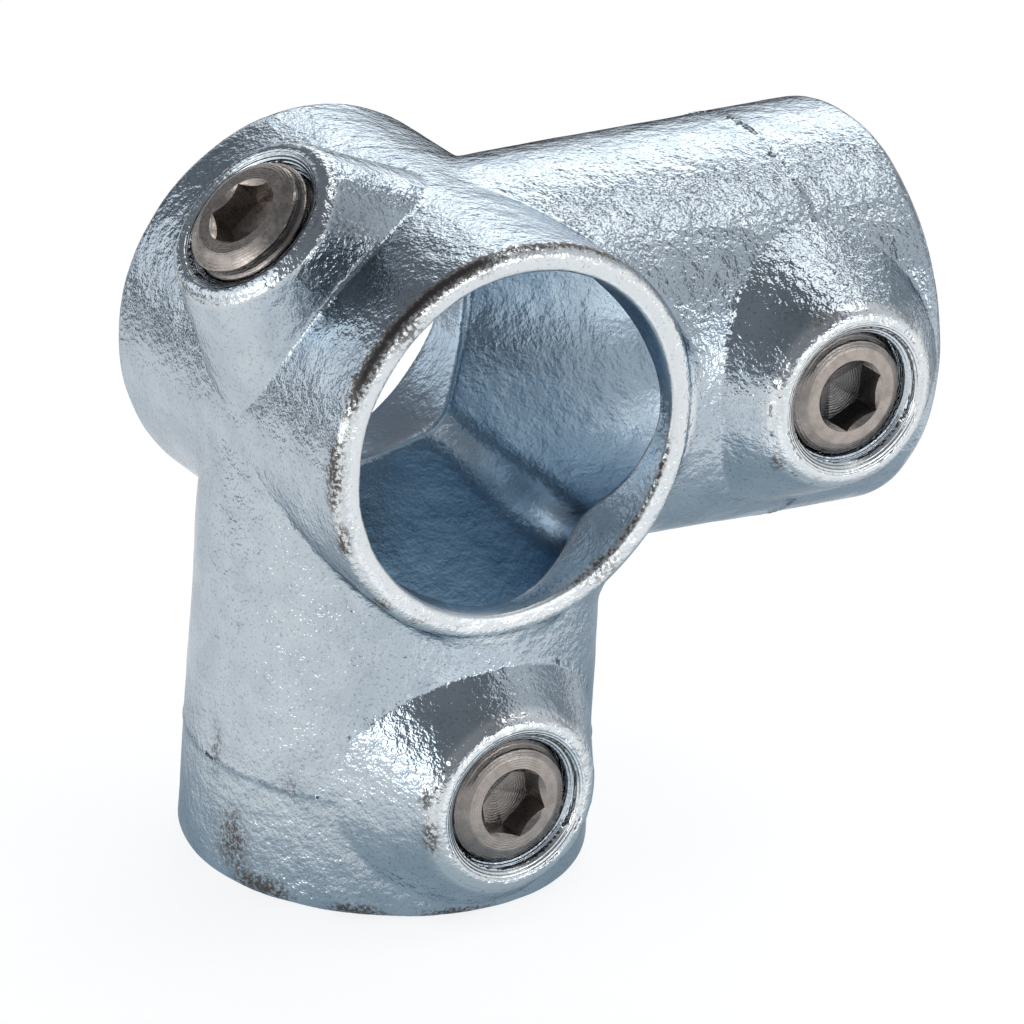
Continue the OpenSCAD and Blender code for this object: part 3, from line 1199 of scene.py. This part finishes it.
@dataclass
class SetScrew:
    """A set screw with a rolled thread, bevelled ends and a hexagon socket."""

    place: ScrewPlace
    hex_turn: float
    radius: float = 8.0
    length: float = 7.0
    pitch: float = 2.0
    thread_depth: float = 1.0
    bevel: float = 1.05
    face_r: float = 6.05
    brow: Span = (7.05, 0.40)
    # Strengths of the painted shade on the bevel and down the socket.
    bevel_shade: float = 0.38
    socket_shade: float = 0.4
    hex_half: float = 4.0
    hex_depth: float = 4.0
    drill_depth: float = 0.7
    cup_r: float = 4.0
    cup_depth: float = 0.8
    tip_r: float = 0.2
    flank: Span = (0.12, 0.85)
    crease: float = 32.0
    sides: int = 192
    row: float = 0.125
    floor_steps: Steps = (0.03, 0.5, 0.97)
    wall_steps: Steps = (0.0, 0.02, 0.33, 0.66, 0.98, 1.0)
    lip_steps: Steps = (0.5, 1.0)
    face_steps: Steps = (0.04, 0.5, 0.94)

    # Spans of the painted shade down the socket, in the thread's roots and on the bevel.
    socket_dim: Span = (0.4, 1.8)
    socket_reach: float = 4.72
    root_shade: float = 0.8
    root_dim: Span = (0.1, 0.6)
    root_run: float = 0.3
    bevel_dim: Span = (0.02, 0.16)
    face_edge: float = 0.2

    def axis(self) -> Array:
        """Outward direction of the screw, against the joint that drives it in."""
        joint = next(j for j in frame["joints"] if j["child"] == self.place.value)
        return -unit(np.array(joint["axis"], float))

    def middle(self) -> Array:
        """Middle of the screw at rest, in millimetres."""
        low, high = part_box(self.place.node)
        return np.array((low + high) / 2) / MM

    def placement(self) -> Matrix:
        """Places the screw's own axis, with its socket face at height zero, in the part."""
        axis = Vector(self.axis())
        face = Vector(self.middle()) + axis * (self.length / 2)
        side = Vector((0.0, 0.0, 1.0)) if abs(axis.y) > 0.9 else Vector((0.0, 1.0, 0.0))
        across = axis.cross(side).normalized()
        turn = Matrix((across, axis.cross(across), axis)).transposed().to_4x4()
        return Matrix.Translation(face * MM) @ turn

    def rings(self, turn: Array) -> List[Tuple[Array, Array]]:
        """Radius and height of each ring of vertices, from the socket's floor round to the tip.

        Args:
            turn: Angle of each vertex round the screw.

        Returns:
            Radii and heights, ring by ring.
        """
        sector = math.pi / 3.0
        hexagon = self.hex_half / np.cos(np.mod(turn - self.hex_turn + sector / 2, sector) - sector / 2)
        corner = self.hex_half / math.cos(sector / 2)
        same = np.ones_like(turn)
        lip = -(corner - hexagon)
        rings = []
        for share in self.floor_steps:
            rings.append((share * hexagon, same * (-self.hex_depth - self.drill_depth * (1 - share))))
        for share in self.wall_steps:
            rings.append((hexagon, -self.hex_depth + (lip + self.hex_depth) * share))
        for share in self.lip_steps:
            rings.append((hexagon + (corner - hexagon) * share, lip * (1 - share)))
        for share in self.face_steps:
            rings.append((same * (corner + (self.face_r - corner) * share), same * 0.0))
        for h in np.arange(0.0, self.length + self.row / 2, self.row):
            end = min(h, self.length - h)
            wave = np.abs(np.mod(h / self.pitch + turn / (2.0 * math.pi), 1.0) - 0.5) * 2.0
            thread = self.radius - self.thread_depth * smoothstep(*self.flank, wave)
            rings.append((np.minimum(thread, self.end_radius(end)), same * -h))
        rings.append((same * self.cup_r, same * -self.length))
        rings.append((same * self.tip_r, same * (self.cup_depth - self.length)))
        return rings

    def end_radius(self, end: float) -> float:
        """Radius of the turned end at a distance from its face: a sloping brow, then a steeper bevel."""
        out, down = self.brow
        if end < down:
            return self.face_r + (out - self.face_r) * end / down
        return out + (end - down) * (self.radius - out) / (self.bevel - down)

    def recess_shade(self, places: Array) -> Array:
        """Painted shade: how dark each place is, down in the socket, on the bevel and in the thread's
        roots.

        Args:
            places: Vertices in the screw's own frame, in millimetres.

        Returns:
            Values from 0 to 1.
        """
        r = np.hypot(places[:, 0], places[:, 1])
        down = -places[:, 2]
        socket = self.socket_shade * smoothstep(*self.socket_dim, down) * (r < self.socket_reach)
        root = self.root_shade * smoothstep(*self.root_dim, self.radius - r)
        root = root * smoothstep(self.bevel, self.bevel + self.root_run, down)
        bevel = self.bevel_shade * smoothstep(*self.bevel_dim, down)
        return np.maximum(socket, (r > self.face_r - self.face_edge) * np.maximum(root, bevel))

    def build(self) -> bpy.types.Object:
        """Makes the screw as one closed mesh.

        Returns:
            The mesh object, placed in the part.
        """
        turn = np.arange(self.sides) * 2.0 * math.pi / self.sides + self.hex_turn
        rings = self.rings(turn)
        vertices = [np.stack([r * np.cos(turn), r * np.sin(turn), h], axis=1) for r, h in rings]
        faces = []
        for i in range(len(rings) - 1):
            for k in range(self.sides):
                nxt = (k + 1) % self.sides
                a, b = i * self.sides, (i + 1) * self.sides
                faces.append((a + k, b + k, b + nxt, a + nxt))
        last = (len(rings) - 1) * self.sides
        faces.append(tuple(range(self.sides)))
        faces.append(tuple(last + k for k in reversed(range(self.sides))))
        made = mesh_from(self.place.value + "_steel", np.concatenate(vertices) * MM, faces)
        made.matrix_world = self.placement()
        made.data.polygons.foreach_set("use_smooth", np.ones(len(made.data.polygons), bool))
        made.data.set_sharp_from_angle(angle=math.radians(self.crease))
        # Painted shade in the screw's recesses.
        add_values(made, "recess_shade", self.recess_shade(np.concatenate(vertices)))
        return made


# Studio


@dataclass(frozen=True)
class Card:
    """A soft patch of the studio's walls, by the direction in which the connector sees it.

    The azimuth runs from the front towards the side socket; angles are in degrees.
    """

    azimuth: float
    height: float
    inner: float
    outer: float
    colour: Colour

    @property
    def way(self) -> Point:
        """Direction from the connector to the card."""
        a, e = math.radians(self.azimuth), math.radians(self.height)
        return (math.sin(a) * math.cos(e), -math.cos(a) * math.cos(e), math.sin(e))


@dataclass(frozen=True)
class PaintedFloorLight:
    """A round patch of floor painted brighter or darker than the rest, as painted light and shadow;
    lengths in metres.
    """

    at: Span
    inner: float
    outer: float
    glow: Colour
    lit: float = 1.0


@dataclass(frozen=True)
class Lamp:
    """A soft square lamp that faces the connector: metres, watts, and its direction from the connector."""

    name: str
    way: Point
    size: float
    power: float
    distance: float = 0.9

    def build(self) -> None:
        """Adds the lamp to the scene."""
        data = bpy.data.lights.new(self.name, "AREA")
        data.size = self.size
        data.energy = self.power
        made = bpy.data.objects.new(self.name, data)
        bpy.context.scene.collection.objects.link(made)
        direction = Vector(self.way).normalized()
        made.location = direction * self.distance
        made.rotation_mode = "QUATERNION"
        made.rotation_quaternion = direction.to_track_quat("Z", "Y")


@dataclass
class Studio:
    """Floor, light and camera."""

    azimuth: float = -33.26
    elevation: float = 22.96
    roll: float = 3.55
    distance: float = 1077.5
    target: Point = (16.81, 0.70, -21.79)
    lens: float = 308.5
    sensor: float = 36.0
    clip: Span = (0.01, 100.0)
    horizon: Colour = (0.80, 0.84, 0.90)
    ceiling: Colour = (0.18, 0.19, 0.21)
    ceiling_span: Span = (0.10, 0.50)
    white: Colour = (1.0, 1.0, 1.0)
    floor_z: float = -61.7
    floor_size: float = 9.0
    floor_colour: float = 0.36
    floor_glow: float = 0.81

    def cards(self) -> List[Card]:
        """The walls: a grey one at the right, screens behind and above, strips at the left and front."""
        return [
            Card(62.0, 36.0, 20.0, 34.0, (0.62, 0.65, 0.68)),
            Card(141.0, 27.0, 18.0, 28.0, (1.26, 1.28, 1.30)),
            Card(118.0, 24.0, 9.0, 18.0, (1.90, 1.92, 1.94)),
            Card(101.0, 8.0, 17.0, 27.0, (0.34, 0.37, 0.40)),
            Card(150.0, -4.0, 6.0, 12.0, (0.05, 0.06, 0.07)),
            Card(90.0, 68.0, 11.0, 19.0, (1.75, 1.74, 1.73)),
            Card(-118.0, 10.0, 20.0, 34.0, (1.07, 1.11, 1.16)),
            Card(-38.0, 2.0, 14.0, 26.0, (0.40, 0.44, 0.48)),
            Card(18.0, 5.0, 14.0, 25.0, (1.18, 1.22, 1.26)),
            Card(-168.0, 8.0, 13.0, 22.0, (0.13, 0.15, 0.17)),
            Card(-40.0, 43.0, 27.0, 39.0, (0.21, 0.225, 0.245)),
            Card(-85.0, 8.0, 17.0, 27.0, (1.48, 1.53, 1.58)),
        ]

    def patches(self) -> List[PaintedFloorLight]:
        """Painted light on the floor: bright at the front right, falling off behind, with painted shadow
        under the connector.
        """
        return [
            PaintedFloorLight((0.01, -0.16), 0.07, 0.18, (0.80, 0.83, 0.87)),
            PaintedFloorLight((0.10, -0.13), 0.04, 0.10, (0.96, 0.98, 1.01)),
            PaintedFloorLight((0.01, -0.095), 0.02, 0.05, (1.12, 1.14, 1.17)),
            PaintedFloorLight((-0.30, 0.40), 0.15, 0.36, (0.17, 0.19, 0.22), 0.3),
            PaintedFloorLight((0.34, 0.05), 0.10, 0.20, (0.54, 0.57, 0.60)),
            # Painted shadow under the connector.
            PaintedFloorLight((0.060, 0.0), 0.035, 0.075, (0.48, 0.55, 0.61)),
            PaintedFloorLight((0.010, 0.0), 0.035, 0.070, (0.39, 0.47, 0.53)),
            PaintedFloorLight((0.14, 0.19), 0.09, 0.16, (0.045, 0.05, 0.055), 0.1),
            PaintedFloorLight((0.26, 0.42), 0.14, 0.24, (0.045, 0.05, 0.055), 0.1),
            PaintedFloorLight((0.45, 0.80), 0.35, 0.60, (0.045, 0.05, 0.055), 0.1),
        ]

    def lamps(self) -> List[Lamp]:
        """Soft lamps behind at the right, at the left and in front."""
        return [
            Lamp("back_right", (0.55, 0.62, 0.58), 0.46, 0.60),
            Lamp("left", (-1.0, -0.15, 0.10), 0.40, 0.60),
            Lamp("front", (0.35, -0.90, 0.10), 0.30, 0.40),
        ]

    def camera(self) -> bpy.types.Object:
        """Makes the camera at the photograph's viewing angle."""
        a, e, roll = (math.radians(x) for x in (self.azimuth, self.elevation, self.roll))
        back = Vector((math.sin(a) * math.cos(e), -math.cos(a) * math.cos(e), math.sin(e)))
        right = Vector((math.cos(a), math.sin(a), 0.0))
        up = back.cross(right)
        across = math.cos(roll) * right + math.sin(roll) * up
        above = math.cos(roll) * up - math.sin(roll) * right
        data = bpy.data.cameras.new("camera")
        data.lens = self.lens
        data.sensor_width = self.sensor
        data.clip_start, data.clip_end = self.clip
        made = bpy.data.objects.new("camera", data)
        bpy.context.scene.collection.objects.link(made)
        place = Matrix((across, above, back)).transposed().to_4x4()
        made.matrix_world = Matrix.Translation((Vector(self.target) + back * self.distance) * MM) @ place
        bpy.context.scene.camera = made
        return made

    def floor(self) -> bpy.types.Object:
        """Makes the pale floor, with painted light and shadow that the metal mirrors."""
        half = self.floor_size / 2
        z = self.floor_z * MM
        corners = [(-half, -half, z), (half, -half, z), (half, half, z), (-half, half, z)]
        made = mesh_from("studio_floor", np.array(corners), [(0, 1, 2, 3)])
        material = bpy.data.materials.new("studio_floor")
        material.use_nodes = True
        sheet = Sheet(material.node_tree)
        path = sheet.node("ShaderNodeLightPath")
        place = sheet.place()
        mirrored: Value = self.white
        seen: Value = (self.floor_glow,) * 3
        paper: Value = (self.floor_colour,) * 3
        # Painted pools of light and painted shadow, seen in the metal's reflections; where a patch is lit
        # less, the paper is darker and the camera's glow brighter.
        for patch in self.patches():
            away = sheet.node("ShaderNodeVectorMath", operation="DISTANCE")
            sheet.put(place, away.inputs[0])
            away.inputs[1].default_value = (*patch.at, z)
            share = sheet.ramp(away.outputs["Value"], patch.inner, patch.outer, 1.0, 0.0)
            mirrored = sheet.mix(share, mirrored, patch.glow)
            if patch.lit < 1.0:
                seen = sheet.mix(share, seen, (1.0 - patch.lit * (1.0 - self.floor_glow),) * 3)
                paper = sheet.mix(share, paper, (patch.lit * self.floor_colour,) * 3)
        lit = sheet.node("ShaderNodeBsdfDiffuse")
        sheet.put(paper, lit.inputs["Color"])
        glow = sheet.node("ShaderNodeEmission")
        sheet.put(seen, glow.inputs["Color"])
        rays = sheet.math("MAXIMUM", path.outputs["Is Camera Ray"], path.outputs["Is Transmission Ray"])
        sheet.put(rays, glow.inputs["Strength"])
        direct = sheet.node("ShaderNodeAddShader")
        sheet.put(lit.outputs[0], direct.inputs[0])
        sheet.put(glow.outputs[0], direct.inputs[1])
        image = sheet.node("ShaderNodeEmission")
        sheet.put(mirrored, image.inputs["Color"])
        both = sheet.node("ShaderNodeMixShader")
        sheet.put(path.outputs["Is Glossy Ray"], both.inputs[0])
        sheet.put(direct.outputs[0], both.inputs[1])
        sheet.put(image.outputs[0], both.inputs[2])
        output = sheet.node("ShaderNodeOutputMaterial")
        sheet.put(both.outputs[0], output.inputs["Surface"])
        made.data.materials.append(material)
        return made

    def surroundings(self) -> None:
        """Makes the studio that the metal mirrors: pale all round, dark above and before the camera."""
        world = bpy.data.worlds.new("studio")
        bpy.context.scene.world = world
        world.use_nodes = True
        sheet = Sheet(world.node_tree)
        way = sheet.node("ShaderNodeTexCoord").outputs["Generated"]
        parts = sheet.node("ShaderNodeSeparateXYZ")
        sheet.put(way, parts.inputs[0])
        tone = sheet.mix(sheet.ramp(parts.outputs[2], *self.ceiling_span), self.horizon, self.ceiling)
        for card in self.cards():
            side = sheet.node("ShaderNodeVectorMath", operation="DOT_PRODUCT")
            sheet.put(way, side.inputs[0])
            side.inputs[1].default_value = card.way
            edge, core = math.cos(math.radians(card.outer)), math.cos(math.radians(card.inner))
            tone = sheet.mix(sheet.ramp(side.outputs["Value"], edge, core), tone, card.colour)
        path = sheet.node("ShaderNodeLightPath")
        tone = sheet.mix(path.outputs["Is Camera Ray"], tone, self.white)
        light = sheet.node("ShaderNodeBackground")
        sheet.put(tone, light.inputs["Color"])
        light.inputs["Strength"].default_value = 1.0
        output = sheet.node("ShaderNodeOutputWorld")
        sheet.put(light.outputs[0], output.inputs["Surface"])

    def build(self) -> None:
        """Sets up the whole studio."""
        bpy.context.scene.view_settings.view_transform = "Standard"
        self.camera()
        self.floor()
        self.surroundings()
        for lamp in self.lamps():
            lamp.build()


def dress(made: bpy.types.Object, material: bpy.types.Material, body: str, node: str) -> None:
    """Gives a piece its finish and its place in the frame.

    Args:
        made: The piece.
        material: Its finish.
        body: CAD body that it moves with.
        node: CAD node that it stands for.
    """
    made.data.materials.clear()
    made.data.materials.append(material)
    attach(made, body)
    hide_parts(node)
    LOG.info("%s rides on %s", made.name, body)


def main() -> None:
    """Builds the connector's looks piece by piece."""
    logging.basicConfig(level=logging.INFO, format="%(name)s: %(message)s")
    Studio().build()
    screws = [
        SetScrew(ScrewPlace.HUB, math.radians(27.0), bevel_shade=0.05, socket_shade=0.2),
        SetScrew(ScrewPlace.SIDE, math.radians(-3.0), socket_shade=0.75),
        SetScrew(ScrewPlace.LOWER, math.radians(14.0)),
    ]
    casting = Casting()
    for screw in screws:
        axis = screw.axis().astype(np.float32)
        centre = screw.middle().astype(np.float32)
        centre = centre - axis * (centre @ axis)
        face = casting.hub_face if screw.place is ScrewPlace.HUB else casting.limb_face
        casting.holes.append(ScrewHole(axis, centre, face, casting.hole_foot))
    dress(casting.build(), ZincFinish().material(), "casting", "body")
    steel = ScrewFinish().material()
    for screw in screws:
        dress(screw.build(), steel, screw.place.value, screw.place.node)


if __name__ == "__main__":
    main()
